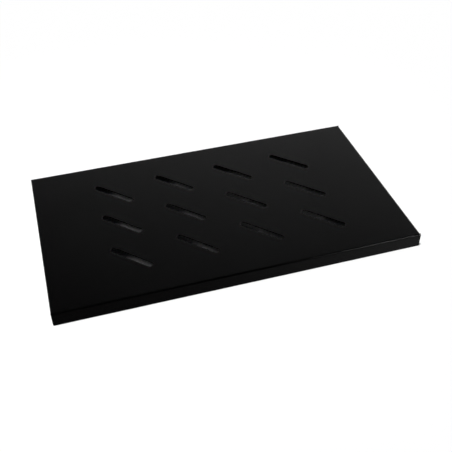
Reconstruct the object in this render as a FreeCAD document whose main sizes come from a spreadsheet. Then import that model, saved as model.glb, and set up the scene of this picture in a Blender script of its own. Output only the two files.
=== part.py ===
import FreeCAD, Part
import math
import os
import Sketcher
from FreeCAD import Vector

# Rack shelf: one steel sheet, punched with slanted vent slots and folded down on four sides.
# The front faces -Y and the tray stands on the lower edges of its flanges at Z = 0.

doc = FreeCAD.newDocument("rack_shelf")
sizes = doc.addObject("Spreadsheet::Sheet", "Sizes")

# Points of a drawn edge, and a sketch's own origin and axes.
START = 1
END = 2
CENTRE = 3
ORIGIN_POINT = (-1, 1)
ACROSS = -1
UPRIGHT = -2
SAME = 1e-6
next_row = 1


def size(alias, value, meaning):
    """Writes one settable size to the sheet and hands back its number."""
    global next_row
    sizes.set("A%d" % next_row, meaning)
    sizes.set("B%d" % next_row, str(value))
    sizes.setAlias("B%d" % next_row, alias)
    next_row += 1
    return float(value)


# Overall tray, in millimetres.
width = size("shelf_width", 485, "outside width across the side flanges")
depth = size("shelf_depth", 275, "outside depth across the front and rear flanges")
height = size("flange_height", 20, "height from the flanges' lower edges to the top face")
thickness = size("sheet_thickness", 1.2, "steel sheet")
bend_radius = size("bend_radius", 1.0, "inside radius of every fold")

# Corners, where the side flanges butt against the front and rear flanges.
relief_width = size("relief_width", 1.0, "slit between a side fold and the front or rear fold")
relief_overrun = size("relief_overrun", 0.6, "how far the slit runs past the side fold")
corner_gap = size("corner_gap", 0.4, "gap between a side flange's end and the flange it butts against")
corner_rounding = size("corner_rounding", 2.0, "rounding of the flanges' lower corners")

# Vent slots in the top, with angles in degrees.
vent_length = size("vent_length", 63, "vent slot from end to end")
vent_width = size("vent_width", 8.4, "vent slot across")
vent_slant = size("vent_slant", 45, "slant of the slots, falling to the right towards the front")
vent_pitch_across = size("vent_pitch_across", 88, "spacing of the slots from left to right")
vent_pitch_deep = size("vent_pitch_deep", 68, "spacing of the slots from rear to front")
vent_columns = size("vent_columns", 4, "slots from left to right")
vent_rows = size("vent_rows", 3, "slots from rear to front")
edge_break = size("edge_break", 0.3, "softened upper edge of a punched vent slot")

# Slotted screw holes in the side flanges.
screw_slot_length = size("screw_slot_length", 16, "screw slot from end to end")
screw_slot_width = size("screw_slot_width", 7, "screw slot across, for an M6 screw")
screw_spacing = size("screw_spacing", 225, "centre to centre of the two slots of a side")
screw_height = size("screw_height", 9, "slot centres above the flanges' lower edges")
doc.recompute()

tray = doc.addObject("PartDesign::Body", "shelf_tray")
tray.Label = "shelf_tray"
outer_radius = thickness + bend_radius
OUTER_RADIUS = "(Sizes.sheet_thickness + Sizes.bend_radius)"
BREAK_ANGLE = 45


def origin_part(role):
    return [part for part in tray.Origin.OriginFeatures if part.Role == role][0]


def sketch_on(role, name):
    sketch = tray.newObject("Sketcher::SketchObject", name)
    sketch.AttachmentSupport = [(origin_part(role), "")]
    sketch.MapMode = "FlatFace"
    return sketch


def constrain(sketch, *terms):
    return sketch.addConstraint(Sketcher.Constraint(*terms))


def dimension(sketch, name, formula, *terms):
    """Adds a named dimension and binds it to the sheet."""
    index = constrain(sketch, *terms)
    sketch.renameConstraint(index, name)
    sketch.setExpression("Constraints." + name, formula)


def add_line(sketch, start, end):
    return sketch.addGeometry(Part.LineSegment(Vector(*start), Vector(*end)), False)


def add_arc(sketch, centre, radius, from_degrees, to_degrees):
    circle = Part.Circle(Vector(*centre), Vector(0, 0, 1), radius)
    arc = Part.ArcOfCircle(circle, math.radians(from_degrees), math.radians(to_degrees))
    return sketch.addGeometry(arc, False)


def add_outline(sketch, corners):
    """Draws a closed outline of level and upright edges, symmetric where they cross the middle."""
    edges = []
    for start, end in zip(corners, corners[1:] + corners[:1]):
        edge = add_line(sketch, start, end)
        if start[1] == -end[1] and start[1] != 0:
            constrain(sketch, "Symmetric", edge, START, edge, END, ACROSS)
        else:
            constrain(sketch, "Vertical" if start[0] == end[0] else "Horizontal", edge)
        edges.append(edge)
    for edge, following in zip(edges, edges[1:] + edges[:1]):
        constrain(sketch, "Coincident", edge, END, following, START)
    return edges


def add_slot(sketch, centre, length, across, degrees):
    """Draws a round-ended slot about a centre point and hands back its edges and that point."""
    slant = math.radians(degrees)
    along = Vector(math.cos(slant), math.sin(slant), 0)
    aside = Vector(-along.y, along.x, 0) * (across / 2)
    middle = Vector(*centre)
    reach = along * ((length - across) / 2)
    far = add_arc(sketch, tuple(middle + reach), across / 2, degrees - 90, degrees + 90)
    near = add_arc(sketch, tuple(middle - reach), across / 2, degrees + 90, degrees + 270)
    upper = add_line(sketch, tuple(middle + reach + aside), tuple(middle - reach + aside))
    lower = add_line(sketch, tuple(middle - reach - aside), tuple(middle + reach - aside))
    point = sketch.addGeometry(Part.Point(middle), True)
    constrain(sketch, "Tangent", far, END, upper, START)
    constrain(sketch, "Tangent", upper, END, near, START)
    constrain(sketch, "Tangent", near, END, lower, START)
    constrain(sketch, "Tangent", lower, END, far, START)
    constrain(sketch, "Equal", far, near)
    constrain(sketch, "Symmetric", far, CENTRE, near, CENTRE, point, START)
    return far, near, lower, point


def extrude(kind, name, sketch, length_formula=None):
    """Pads or pockets a sketch evenly to both sides, right through where no length is given."""
    feature = tray.newObject("PartDesign::" + kind, name)
    feature.Profile = sketch
    feature.SideType = "Symmetric"
    if length_formula:
        feature.setExpression("Length", length_formula)
    else:
        feature.Type = "ThroughAll"
    sketch.Visibility = False
    doc.recompute()
    return feature


# Front flange, top and rear flange: one strip with a fold at each end, drawn from the side.
channel = sketch_on("YZ_Plane", "channel_profile")
half_depth = depth / 2
fold_y = half_depth - outer_radius
fold_z = height - outer_radius
front_outer = add_line(channel, (-half_depth, 0), (-half_depth, fold_z))
front_bend = add_arc(channel, (-fold_y, fold_z), outer_radius, 90, 180)
top_outer = add_line(channel, (-fold_y, height), (fold_y, height))
rear_bend = add_arc(channel, (fold_y, fold_z), outer_radius, 0, 90)
rear_outer = add_line(channel, (half_depth, fold_z), (half_depth, 0))
rear_edge = add_line(channel, (half_depth, 0), (half_depth - thickness, 0))
rear_inner = add_line(channel, (half_depth - thickness, 0), (half_depth - thickness, fold_z))
rear_hollow = add_arc(channel, (fold_y, fold_z), bend_radius, 0, 90)
top_inner = add_line(channel, (fold_y, height - thickness), (-fold_y, height - thickness))
front_hollow = add_arc(channel, (-fold_y, fold_z), bend_radius, 90, 180)
front_inner = add_line(channel, (thickness - half_depth, fold_z), (thickness - half_depth, 0))
front_edge = add_line(channel, (thickness - half_depth, 0), (-half_depth, 0))
constrain(channel, "Tangent", front_outer, END, front_bend, END)
constrain(channel, "Tangent", front_bend, START, top_outer, START)
constrain(channel, "Tangent", top_outer, END, rear_bend, END)
constrain(channel, "Tangent", rear_bend, START, rear_outer, START)
constrain(channel, "Coincident", rear_outer, END, rear_edge, START)
constrain(channel, "Coincident", rear_edge, END, rear_inner, START)
constrain(channel, "Tangent", rear_inner, END, rear_hollow, START)
constrain(channel, "Tangent", rear_hollow, END, top_inner, START)
constrain(channel, "Tangent", top_inner, END, front_hollow, START)
constrain(channel, "Tangent", front_hollow, END, front_inner, START)
constrain(channel, "Coincident", front_inner, END, front_edge, START)
constrain(channel, "Coincident", front_edge, END, front_outer, START)
for upright in (front_outer, rear_outer, front_inner, rear_inner):
    constrain(channel, "Vertical", upright)
for level in (top_outer, top_inner, front_edge):
    constrain(channel, "Horizontal", level)
constrain(channel, "Equal", front_hollow, rear_hollow)
constrain(channel, "Coincident", front_bend, CENTRE, front_hollow, CENTRE)
constrain(channel, "Coincident", rear_bend, CENTRE, rear_hollow, CENTRE)
constrain(channel, "Symmetric", front_outer, START, rear_outer, END, UPRIGHT)
constrain(channel, "PointOnObject", front_outer, START, ACROSS)
constrain(channel, "PointOnObject", rear_edge, END, ACROSS)
dimension(channel, "depth", "Sizes.shelf_depth", "DistanceX", front_outer, START, rear_outer, END, depth)
dimension(channel, "height", "Sizes.flange_height", "DistanceY", *ORIGIN_POINT, top_outer, START, height)
dimension(channel, "sheet", "Sizes.sheet_thickness", "DistanceX",
          front_edge, END, front_edge, START, thickness)
dimension(channel, "radius", "Sizes.bend_radius", "Radius", front_hollow, bend_radius)
extrude("Pad", "folded_strip", channel, "Sizes.shelf_width")

# The strip's sides are trimmed to the side fold, with a deeper slit at each corner as fold relief.
trim = sketch_on("XY_Plane", "side_trim_outline")
fold_x = width / 2 - outer_radius
slit_x = fold_x - relief_overrun
beyond_x = width / 2 + thickness
slit_y = fold_y - relief_width
trim_edges = add_outline(trim, [
    (slit_x, -fold_y), (beyond_x, -fold_y), (beyond_x, fold_y), (slit_x, fold_y),
    (slit_x, slit_y), (fold_x, slit_y), (fold_x, -slit_y), (slit_x, -slit_y)])
trim_front, trim_outside, trim_rear, rear_slit, rear_step, fold_edge = trim_edges[:6]
constrain(trim, "Vertical", trim_front, START, trim_rear, END)
dimension(trim, "fold", "Sizes.shelf_width / 2 - " + OUTER_RADIUS, "DistanceX",
          *ORIGIN_POINT, fold_edge, START, fold_x)
dimension(trim, "overrun", "Sizes.relief_overrun", "DistanceX",
          rear_step, START, rear_step, END, relief_overrun)
dimension(trim, "outside", "Sizes.shelf_width / 2 + Sizes.sheet_thickness", "DistanceX",
          *ORIGIN_POINT, trim_outside, START, beyond_x)
dimension(trim, "length", "Sizes.shelf_depth - 2 * " + OUTER_RADIUS, "DistanceY",
          trim_outside, START, trim_outside, END, 2 * fold_y)
dimension(trim, "slit", "Sizes.relief_width", "DistanceY", rear_slit, END, rear_slit, START, relief_width)
side_trim = extrude("Pocket", "side_trim", trim)

# Side fold with the upper part of the side flange, between the corner slits.
side = sketch_on("XZ_Plane", "side_fold_profile")
half_width = width / 2
side_bend = add_arc(side, (fold_x, fold_z), outer_radius, 0, 90)
side_outer = add_line(side, (half_width, fold_z), (half_width, 0))
side_edge = add_line(side, (half_width, 0), (half_width - thickness, 0))
side_inner = add_line(side, (half_width - thickness, 0), (half_width - thickness, fold_z))
side_hollow = add_arc(side, (fold_x, fold_z), bend_radius, 0, 90)
side_seam = add_line(side, (fold_x, height - thickness), (fold_x, height))
constrain(side, "Tangent", side_bend, START, side_outer, START)
constrain(side, "Coincident", side_outer, END, side_edge, START)
constrain(side, "Coincident", side_edge, END, side_inner, START)
constrain(side, "Tangent", side_inner, END, side_hollow, START)
constrain(side, "Coincident", side_hollow, END, side_seam, START)
constrain(side, "Coincident", side_seam, END, side_bend, END)
constrain(side, "Coincident", side_bend, CENTRE, side_hollow, CENTRE)
for upright in (side_outer, side_inner, side_seam):
    constrain(side, "Vertical", upright)
constrain(side, "Vertical", side_seam, END, side_bend, CENTRE)
constrain(side, "Horizontal", side_edge)
constrain(side, "PointOnObject", side_edge, START, ACROSS)
dimension(side, "half_width", "Sizes.shelf_width / 2", "DistanceX",
          *ORIGIN_POINT, side_outer, END, half_width)
dimension(side, "height", "Sizes.flange_height", "DistanceY", *ORIGIN_POINT, side_seam, END, height)
dimension(side, "sheet", "Sizes.sheet_thickness", "DistanceX",
          side_edge, END, side_edge, START, thickness)
dimension(side, "radius", "Sizes.bend_radius", "Radius", side_hollow, bend_radius)
side_fold = extrude("Pad", "side_fold", side,
                    "Sizes.shelf_depth - 2 * (" + OUTER_RADIUS + " + Sizes.relief_width)")

# Lower part of the side flange, running on to close the corners up to a small gap.
skirt = sketch_on("XZ_Plane", "side_flange_profile")
skirt_edges = add_outline(skirt, [
    (half_width - thickness, 0), (half_width, 0), (half_width, fold_z), (half_width - thickness, fold_z)])
skirt_edge, skirt_outer = skirt_edges[:2]
constrain(skirt, "PointOnObject", skirt_edge, START, ACROSS)
dimension(skirt, "half_width", "Sizes.shelf_width / 2", "DistanceX",
          *ORIGIN_POINT, skirt_edge, END, half_width)
dimension(skirt, "sheet", "Sizes.sheet_thickness", "DistanceX",
          skirt_edge, START, skirt_edge, END, thickness)
dimension(skirt, "height", "Sizes.flange_height - " + OUTER_RADIUS, "DistanceY",
          skirt_outer, START, skirt_outer, END, fold_z)
side_flange = extrude("Pad", "side_flange", skirt,
                      "Sizes.shelf_depth - 2 * (Sizes.sheet_thickness + Sizes.corner_gap)")

both_sides = tray.newObject("PartDesign::Mirrored", "both_sides")
both_sides.Originals = [side_trim, side_fold, side_flange]
both_sides.MirrorPlane = (origin_part("YZ_Plane"), [""])
tray.Tip = both_sides
doc.recompute()


# The eight lower corners of the four flanges are rounded.
def is_lower_corner(edge):
    """True for a short edge across the sheet's thickness, at the foot of a flange's end."""
    first, last = edge.Vertexes[0].Point, edge.Vertexes[-1].Point
    on_foot = abs(first.z) < SAME and abs(last.z) < SAME
    return on_foot and abs(edge.Length - thickness) < SAME


corner_names = []
for number, edge in enumerate(both_sides.Shape.Edges, 1):
    if is_lower_corner(edge):
        corner_names.append("Edge%d" % number)
rounded = tray.newObject("PartDesign::Fillet", "lower_corners")
rounded.Base = (both_sides, corner_names)
rounded.setExpression("Radius", "Sizes.corner_rounding")
doc.recompute()

# First vent slot, at the rear left of the grid.
first_x = -(vent_columns - 1) / 2 * vent_pitch_across
first_y = (vent_rows - 1) / 2 * vent_pitch_deep
FIRST_X = "(Sizes.vent_columns - 1) / 2 * Sizes.vent_pitch_across"
FIRST_Y = "(Sizes.vent_rows - 1) / 2 * Sizes.vent_pitch_deep"


def vent_sketch(name, margin, margin_formula):
    """Draws the first slot's outline, widened all round by a margin."""
    sketch = sketch_on("XY_Plane", name)
    length = vent_length + 2 * margin
    across = vent_width + 2 * margin
    far, near, lower, point = add_slot(sketch, (first_x, first_y, 0), length, across, -vent_slant)
    dimension(sketch, "radius", "Sizes.vent_width / 2 + " + margin_formula, "Radius", far, across / 2)
    dimension(sketch, "centres", "Sizes.vent_length - Sizes.vent_width", "Distance",
              near, CENTRE, far, CENTRE, vent_length - vent_width)
    dimension(sketch, "slant", "Sizes.vent_slant * 1 deg", "Angle", lower, START, ACROSS, START,
              math.radians(vent_slant))
    dimension(sketch, "left", FIRST_X, "DistanceX", point, START, *ORIGIN_POINT, -first_x)
    dimension(sketch, "behind", FIRST_Y, "DistanceY", *ORIGIN_POINT, point, START, first_y)
    return sketch


vent = extrude("Pocket", "vent_slot", vent_sketch("vent_slot_outline", 0, "0"))
softened_outline = vent_sketch("vent_edge_outline", edge_break, "Sizes.edge_break")
softened_outline.setExpression("AttachmentOffset.Base.z", "Sizes.flange_height")
softened = tray.newObject("PartDesign::Pocket", "vent_edge")
softened.Profile = softened_outline
softened.setExpression("Length", "Sizes.edge_break")
softened.TaperAngle = -BREAK_ANGLE
softened_outline.Visibility = False
doc.recompute()

vents = tray.newObject("PartDesign::LinearPattern", "vent_grid")
vents.Originals = [vent, softened]
vents.Direction = (origin_part("X_Axis"), [""])
vents.setExpression("Length", "(Sizes.vent_columns - 1) * Sizes.vent_pitch_across")
vents.setExpression("Occurrences", "Sizes.vent_columns")
vents.Direction2 = (origin_part("Y_Axis"), [""])
vents.Reversed2 = True
vents.setExpression("Length2", "(Sizes.vent_rows - 1) * Sizes.vent_pitch_deep")
vents.setExpression("Occurrences2", "Sizes.vent_rows")
tray.Tip = vents
doc.recompute()

# Two slotted screw holes through each side flange, cut through both sides at once.
screws = sketch_on("YZ_Plane", "screw_slot_outlines")
for name, sign in (("front", -1), ("rear", 1)):
    middle = (sign * screw_spacing / 2, screw_height, 0)
    far, near, lower, point = add_slot(screws, middle, screw_slot_length, screw_slot_width, 0)
    constrain(screws, "Horizontal", lower)
    dimension(screws, name + "_radius", "Sizes.screw_slot_width / 2", "Radius", far, screw_slot_width / 2)
    dimension(screws, name + "_centres", "Sizes.screw_slot_length - Sizes.screw_slot_width", "DistanceX",
              near, CENTRE, far, CENTRE, screw_slot_length - screw_slot_width)
    ends = (point, START) + ORIGIN_POINT if sign < 0 else ORIGIN_POINT + (point, START)
    dimension(screws, name + "_offset", "Sizes.screw_spacing / 2", "DistanceX", *ends, screw_spacing / 2)
    dimension(screws, name + "_height", "Sizes.screw_height", "DistanceY",
              *ORIGIN_POINT, point, START, screw_height)
screw_slots = extrude("Pocket", "screw_slots", screws)
tray.Tip = screw_slots
doc.recompute()

for item in doc.Objects:
    faults = [word for word in item.State if word in ("Invalid", "Error")]
    if faults:
        raise RuntimeError("%s did not build: %s" % (item.Name, ", ".join(faults)))
shape = tray.Shape
if shape.isNull() or not shape.isValid() or len(shape.Solids) != 1:
    raise RuntimeError("the tray is not one valid solid")

os.makedirs("parts", exist_ok=True)
shape.exportStep("parts/%s.step" % tray.Label)
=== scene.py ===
"""Black powder-coated rack shelf: its finish, a plain studio round it and the camera."""
import math
from collections import namedtuple

import bpy
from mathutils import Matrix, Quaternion, Vector

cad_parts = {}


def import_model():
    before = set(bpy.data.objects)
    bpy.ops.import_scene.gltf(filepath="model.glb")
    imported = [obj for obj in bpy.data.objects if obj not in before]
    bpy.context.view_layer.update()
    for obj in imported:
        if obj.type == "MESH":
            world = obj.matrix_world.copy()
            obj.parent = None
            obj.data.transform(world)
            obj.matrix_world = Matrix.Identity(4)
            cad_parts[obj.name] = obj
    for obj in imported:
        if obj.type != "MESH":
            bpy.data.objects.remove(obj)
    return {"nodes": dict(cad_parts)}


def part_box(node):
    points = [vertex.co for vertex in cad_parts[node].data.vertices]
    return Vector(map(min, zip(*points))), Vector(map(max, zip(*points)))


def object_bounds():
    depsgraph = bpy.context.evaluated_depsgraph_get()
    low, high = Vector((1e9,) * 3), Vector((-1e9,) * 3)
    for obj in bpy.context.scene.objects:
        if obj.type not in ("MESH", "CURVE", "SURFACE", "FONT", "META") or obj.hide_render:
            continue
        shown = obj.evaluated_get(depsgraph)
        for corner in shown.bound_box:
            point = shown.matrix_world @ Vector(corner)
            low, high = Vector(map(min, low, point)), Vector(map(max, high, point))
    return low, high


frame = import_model()
cad_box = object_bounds()

Spot = namedtuple("Spot", "power place aim radius cone blend")

# Camera: where it stands in metres, where it looks in degrees, and its lens on a 36 mm sensor.
CAMERA_PLACE = (-0.1979, -0.7322, 0.6441)
CAMERA_AZIMUTH = -16.124
CAMERA_ELEVATION = 41.129
CAMERA_ROLL = -0.627
SENSOR_MM = 36.0
LENS_MM = 56.20

# Powder coat: colours are linear, sizes are in metres.
COAT_DARK = (0.0004, 0.0004, 0.00042, 1.0)
COAT_LIGHT = (0.0010, 0.0010, 0.00104, 1.0)
COAT_THIN = (0.010, 0.010, 0.0104, 1.0)
COAT_SPECULAR = 0.5
COAT_ROUGHNESS = (0.25, 0.27)
COAT_RELIEF = 0.00007
PEEL_SIZE = 0.0011
PEEL_DETAIL = 2.0
GRAIN_SIZE = 0.00032
GRAIN_DETAIL = 1.0
GRAIN_SHARE = 0.3
CLOUD_SIZE = 0.07
CLOUD_DETAIL = 3.0
NOISE_SPAN = (0.3, 0.7)

# Cut edges: the coat thins as the cosine between a face and its rounded edge falls, more on some lumps.
EDGE_RADIUS = 0.0003
EDGE_SAMPLES = 4
EDGE_SPAN = (0.97, 0.80)
WEAR_SPAN = (0.35, 0.65)
WEAR_RANGE = (0.2, 1.0)

# Floor: it lies just under the flanges, so that the two never share a plane.
FLOOR_REACH = 15.0
FLOOR_DROP = 0.0002
FLOOR_COLOUR = (0.95, 0.95, 0.95, 1.0)

# Cards round the shelf: places in metres, and the spans over which their shades change.
# Painted dark reflection: the black that reflections see under the shelf and some way in front of it, where
# the floor itself is white.
PAINTED_DARK_REFLECTION = (0.004, 0.004, 0.004, 1.0)
CARD_LIFT = 0.0002
CARDS_LEFT = -1.6
CARDS_RIGHT = 2.2
CARDS_FRONT = -2.2
CARDS_HIGH = 1.6
CARDS_BACK_LEFT = 3.85
CARDS_BACK_RIGHT = 3.05
GLOW_SPAN = (-0.9, 0.9)
GLOW_FADE = (0.88, 1.88)
GLOW_STRENGTH = 0.134
SHEEN_SPAN = (-0.75, -1.5)
SHEEN_FADE = (0.7, 0.1)
SHEEN_STRENGTH = 0.45
SIDE_STRENGTH = 0.2
# Painted reflection: a grey card on the floor in front of the shelf that only reflections see, darker at the
# left and lighter at the right, black further out.
PAINTED_REFLECTION_REACH = 1.0
PAINTED_REFLECTION_SPAN = (-0.3, 0.3)
PAINTED_REFLECTION_RISE = 2.2
PAINTED_REFLECTION_FADE = (-0.205, -0.165)
PAINTED_REFLECTION_DARK = (0.03, 0.03, 0.03, 1.0)
PAINTED_REFLECTION_LIGHT = (0.225, 0.225, 0.225, 1.0)

# Light: strengths of the surroundings and the sun, and spots in watts, metres and degrees.
WHITE = (1.0, 1.0, 1.0, 1.0)
SURROUND_STRENGTH = 1.0
AMBIENT_STRENGTH = 0.02
SUN_STRENGTH = 3.32
SUN_PLACE = (-0.20, -0.10, 1.0)
SUN_AIM = (0.0, 0.0, 0.0)
SUN_ANGLE = 8.0
BACK_SPOT = Spot(
    power=11.0, place=(1.32, 3.09, 2.255), aim=(0.15, 0.0, 0.0), radius=0.105, cone=7.0, blend=1.0)
LEFT_SPOT = Spot(
    power=5.1, place=(-0.735, 0.065, 0.67), aim=(-0.265, 0.07, 0.0), radius=0.20, cone=52.5, blend=1.0)
# The last spot is aimed at the upper front edge of the shelf.
FOLD_AIM = (0.20, cad_box[0][1], cad_box[1][2])
FOLD_SPOT = Spot(
    power=9.1, place=(0.894, -1.34, 0.82), aim=FOLD_AIM, radius=0.05, cone=10.0, blend=0.73)


def link(obj):
    """Puts an object into the scene."""
    bpy.context.scene.collection.objects.link(obj)
    return obj


def put(tree, socket, value):
    """Fills a socket: a node's output is linked to it, and anything else is set on it."""
    if isinstance(value, bpy.types.NodeSocket):
        tree.links.new(value, socket)
    else:
        socket.default_value = value


def add_node(tree, kind, settings=None, **values):
    """A node with its settings made and its named sockets filled."""
    node = tree.nodes.new(kind)
    for name, value in (settings or {}).items():
        setattr(node, name, value)
    for name, value in values.items():
        put(tree, node.inputs[name.replace("_", " ")], value)
    return node


def two_input_node(tree, kind, operation, first, second):
    """A node that works on its first two sockets, which share one name."""
    node = add_node(tree, kind, {"operation": operation})
    put(tree, node.inputs[0], first)
    put(tree, node.inputs[1], second)
    return node


def math_node(tree, operation, first, second):
    return two_input_node(tree, "ShaderNodeMath", operation, first, second).outputs["Value"]


def spread(tree, value, span, result=(0.0, 1.0), shape="SMOOTHSTEP"):
    """Takes a value from one span to another, and no further than its ends."""
    limits = {"From_Min": span[0], "From_Max": span[1], "To_Min": result[0], "To_Max": result[1]}
    node = add_node(tree, "ShaderNodeMapRange", {"interpolation_type": shape}, Value=value, **limits)
    return node.outputs["Result"]


def mix_colour(tree, share, first, second):
    """A colour between two others. The node has like-named sockets for numbers, so these go by identifier."""
    node = add_node(tree, "ShaderNodeMix", {"data_type": "RGBA"}, Factor=share)
    sockets = {socket.identifier: socket for socket in (*node.inputs, *node.outputs)}
    put(tree, sockets["A_Color"], first)
    put(tree, sockets["B_Color"], second)
    return sockets["Result_Color"]


def object_place(tree):
    return add_node(tree, "ShaderNodeTexCoord").outputs["Object"]


def across_and_along(tree):
    """The place on a surface from left to right and from front to back."""
    parts = add_node(tree, "ShaderNodeSeparateXYZ", Vector=object_place(tree)).outputs
    return parts["X"], parts["Y"]


def noise(tree, place, size, detail):
    """Soft random lumps of about the given size."""
    return add_node(tree, "ShaderNodeTexNoise", Vector=place, Scale=1.0 / size, Detail=detail).outputs["Fac"]


def with_grain(tree, coarse, grain):
    """Coarse lumps with a share of the fine grain in them."""
    most = math_node(tree, "MULTIPLY", coarse, 1.0 - GRAIN_SHARE)
    return math_node(tree, "ADD", most, math_node(tree, "MULTIPLY", grain, GRAIN_SHARE))


def node_material(name, shader):
    """A node material with the surface shader that a function makes in its tree."""
    material = bpy.data.materials.new(name)
    material.use_nodes = True
    tree = material.node_tree
    tree.nodes.clear()
    output = tree.nodes.new("ShaderNodeOutputMaterial")
    tree.links.new(shader(tree).outputs[0], output.inputs["Surface"])
    return material


def powder_coat(tree):
    """Semi-matt black with a fine orange peel, a little cloudy in its gloss and thin on the cut edges."""
    place = object_place(tree)
    peel = noise(tree, place, PEEL_SIZE, PEEL_DETAIL)
    grain = noise(tree, place, GRAIN_SIZE, GRAIN_DETAIL)
    cloud = noise(tree, place, CLOUD_SIZE, CLOUD_DETAIL)

    flat = add_node(tree, "ShaderNodeNewGeometry").outputs["Normal"]
    bevel = add_node(tree, "ShaderNodeBevel", {"samples": EDGE_SAMPLES}, Radius=EDGE_RADIUS)
    rounded = bevel.outputs["Normal"]
    cosine = two_input_node(tree, "ShaderNodeVectorMath", "DOT_PRODUCT", flat, rounded).outputs["Value"]
    wear = spread(tree, peel, WEAR_SPAN, WEAR_RANGE)
    worn = math_node(tree, "MULTIPLY", spread(tree, cosine, EDGE_SPAN), wear)

    tint = mix_colour(tree, spread(tree, grain, NOISE_SPAN), COAT_DARK, COAT_LIGHT)
    height = with_grain(tree, peel, grain)
    relief = add_node(tree, "ShaderNodeBump", Height=height, Distance=COAT_RELIEF, Normal=rounded)
    looks = {
        "Base_Color": mix_colour(tree, worn, tint, COAT_THIN),
        "Roughness": spread(tree, with_grain(tree, cloud, grain), NOISE_SPAN, COAT_ROUGHNESS),
        "Specular_IOR_Level": COAT_SPECULAR,
        "Normal": relief.outputs["Normal"],
    }
    return add_node(tree, "ShaderNodeBsdfPrincipled", **looks)


def studio_material(name, kind, socket, value):
    """A plain shader with one socket filled, by a value or by the nodes that a function makes."""
    def shader(tree):
        return add_node(tree, kind, **{socket: value(tree) if callable(value) else value})
    return node_material(name, shader)


def matt_material(name, colour):
    return studio_material(name, "ShaderNodeBsdfDiffuse", "Color", colour)


def glow_material(name, strength):
    return studio_material(name, "ShaderNodeEmission", "Strength", strength)


def painted_reflection_colour(tree):
    """A painted reflection for the front flange and fold: grey that lightens from left to right, and black
    some way in front of the shelf.
    """
    across, along = across_and_along(tree)
    rise = math_node(tree, "POWER", spread(tree, across, PAINTED_REFLECTION_SPAN, shape="LINEAR"), PAINTED_REFLECTION_RISE)
    grey = mix_colour(tree, rise, PAINTED_REFLECTION_DARK, PAINTED_REFLECTION_LIGHT)
    return mix_colour(tree, spread(tree, along, PAINTED_REFLECTION_FADE), PAINTED_DARK_REFLECTION, grey)


def overhead_glow(tree):
    """None in the middle, a faint one that grows to the back right, and a sheen at the front left."""
    across, along = across_and_along(tree)
    right = spread(tree, across, GLOW_SPAN, (0.0, GLOW_STRENGTH))
    back_right = math_node(tree, "MULTIPLY", right, spread(tree, along, GLOW_FADE))
    left = spread(tree, across, SHEEN_SPAN, (0.0, SHEEN_STRENGTH))
    front_left = math_node(tree, "MULTIPLY", left, spread(tree, along, SHEEN_FADE))
    return math_node(tree, "ADD", back_right, front_left)


def level(x_low, x_high, y_low, y_high, z):
    """The corners of a level rectangle."""
    return [(x_low, y_low, z), (x_high, y_low, z), (x_high, y_high, z), (x_low, y_high, z)]


def upright(start, end, height):
    """The corners of an upright rectangle over a line on the floor."""
    return [(*start, 0.0), (*end, 0.0), (*end, height), (*start, height)]


def panel(name, corners, material):
    """One flat four-cornered piece of the studio."""
    mesh = bpy.data.meshes.new(name)
    mesh.from_pydata(corners, [], [(0, 1, 2, 3)])
    mesh.materials.append(material)
    obj = link(bpy.data.objects.new(name, mesh))
    return obj


def floor():
    corners = level(-FLOOR_REACH, FLOOR_REACH, -FLOOR_REACH, FLOOR_REACH, -FLOOR_DROP)
    panel("floor", corners, matt_material("floor_white", FLOOR_COLOUR))


def flags():
    """Cards that only reflections see: overhead, in front, at the left and on the floor."""
    low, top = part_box("shelf_tray")
    glow = glow_material("flag_glow", overhead_glow)
    dim = glow_material("flag_dim", SIDE_STRENGTH)
    black = matt_material("flag_painted_shade", PAINTED_DARK_REFLECTION)
    grey = matt_material("painted_reflection_grey", painted_reflection_colour)

    front_left, front_right = (CARDS_LEFT, CARDS_FRONT), (CARDS_RIGHT, CARDS_FRONT)
    back_left, back_right = (CARDS_LEFT, CARDS_BACK_LEFT), (CARDS_RIGHT, CARDS_BACK_RIGHT)
    overhead = [(*corner, CARDS_HIGH) for corner in (front_left, front_right, back_right, back_left)]
    cards = [
        panel("flag_overhead", overhead, glow),
        panel("flag_front", upright(front_left, front_right, CARDS_HIGH), glow),
        # Painted reflection on the front flange and fold: the grey card in front of the shelf.
        panel("flag_painted_reflection", level(-PAINTED_REFLECTION_REACH, PAINTED_REFLECTION_REACH, CARDS_FRONT, low.y, CARD_LIFT), grey),
        # Painted shade: a black card under the shelf, seen only in reflections.
        panel("flag_under", level(low.x, top.x, low.y, top.y, CARD_LIFT), black),
        panel("flag_side", upright(front_left, back_left, CARDS_HIGH), dim),
        panel("flag_beside", level(CARDS_LEFT, low.x, low.y, CARDS_BACK_LEFT, CARD_LIFT), dim),
    ]
    for card in cards:
        for ray in ("camera", "diffuse", "transmission", "volume_scatter", "shadow"):
            setattr(card, f"visible_{ray}", False)


def lamp(name, kind, energy, place, aim, only_gloss=False, **settings):
    """A lamp that the camera never sees. It lights matt surfaces alone, or shows in reflections alone."""
    data = bpy.data.lights.new(name, kind)
    data.energy = energy
    for key, value in settings.items():
        setattr(data, key, value)
    obj = link(bpy.data.objects.new(name, data))
    obj.location = place
    obj.rotation_euler = (Vector(aim) - Vector(place)).to_track_quat("-Z", "Y").to_euler()
    obj.visible_camera = False
    obj.visible_diffuse = not only_gloss
    obj.visible_glossy = only_gloss


def spot_lamp(name, spot, only_gloss=False):
    shape = {"shadow_soft_size": spot.radius, "spot_size": math.radians(spot.cone), "spot_blend": spot.blend}
    lamp(name, "SPOT", spot.power, spot.place, spot.aim, only_gloss, **shape)


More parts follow.
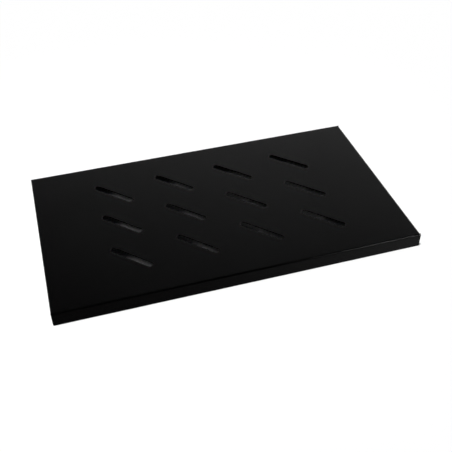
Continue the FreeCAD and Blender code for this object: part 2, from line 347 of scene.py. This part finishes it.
def lights():
    """A sun, two spots for what shows through the slots, and one that only glints on the front fold."""
    lamp("lamp_main", "SUN", SUN_STRENGTH, SUN_PLACE, SUN_AIM, angle=math.radians(SUN_ANGLE))
    spot_lamp("lamp_back", BACK_SPOT)
    spot_lamp("lamp_left", LEFT_SPOT)
    spot_lamp("lamp_right", FOLD_SPOT, only_gloss=True)


def seen_directly(tree):
    """1 for rays from the camera and for what shines or shows through, 0 for light that falls on things."""
    path = tree.nodes.new("ShaderNodeLightPath").outputs
    seen = math_node(tree, "MAXIMUM", path["Is Camera Ray"], path["Is Glossy Ray"])
    return math_node(tree, "MAXIMUM", seen, path["Is Transmission Ray"])


def world():
    """White surroundings to the eye, which add only a little light."""
    studio = bpy.data.worlds.new("studio")
    bpy.context.scene.world = studio
    studio.use_nodes = True
    tree = studio.node_tree
    tree.nodes.clear()
    ambient = add_node(tree, "ShaderNodeBackground", Color=WHITE, Strength=AMBIENT_STRENGTH)
    surround = add_node(tree, "ShaderNodeBackground", Color=WHITE, Strength=SURROUND_STRENGTH)
    choice = add_node(tree, "ShaderNodeMixShader", Fac=seen_directly(tree))
    tree.links.new(ambient.outputs[0], choice.inputs[1])
    tree.links.new(surround.outputs[0], choice.inputs[2])
    add_node(tree, "ShaderNodeOutputWorld", Surface=choice.outputs[0])


def camera():
    """The camera of the photo, rolled a little about its own axis."""
    lens = bpy.data.cameras.new("camera")
    lens.sensor_width = SENSOR_MM
    lens.lens = LENS_MM
    azimuth, elevation = math.radians(CAMERA_AZIMUTH), math.radians(CAMERA_ELEVATION)
    flat = math.cos(elevation)
    away = Vector((math.sin(azimuth) * flat, -math.cos(azimuth) * flat, math.sin(elevation)))
    roll = Quaternion((0, 0, 1), math.radians(CAMERA_ROLL))
    obj = link(bpy.data.objects.new("camera", lens))
    obj.rotation_mode = "QUATERNION"
    obj.rotation_quaternion = (-away).to_track_quat("-Z", "Y") @ roll
    obj.location = CAMERA_PLACE
    bpy.context.scene.camera = obj


tray = frame["nodes"]["shelf_tray"]
tray.material_slots[0].material = node_material("powder_coat_black", powder_coat)
floor()
flags()
lights()
world()
camera()
bpy.context.scene.view_settings.view_transform = "Standard"
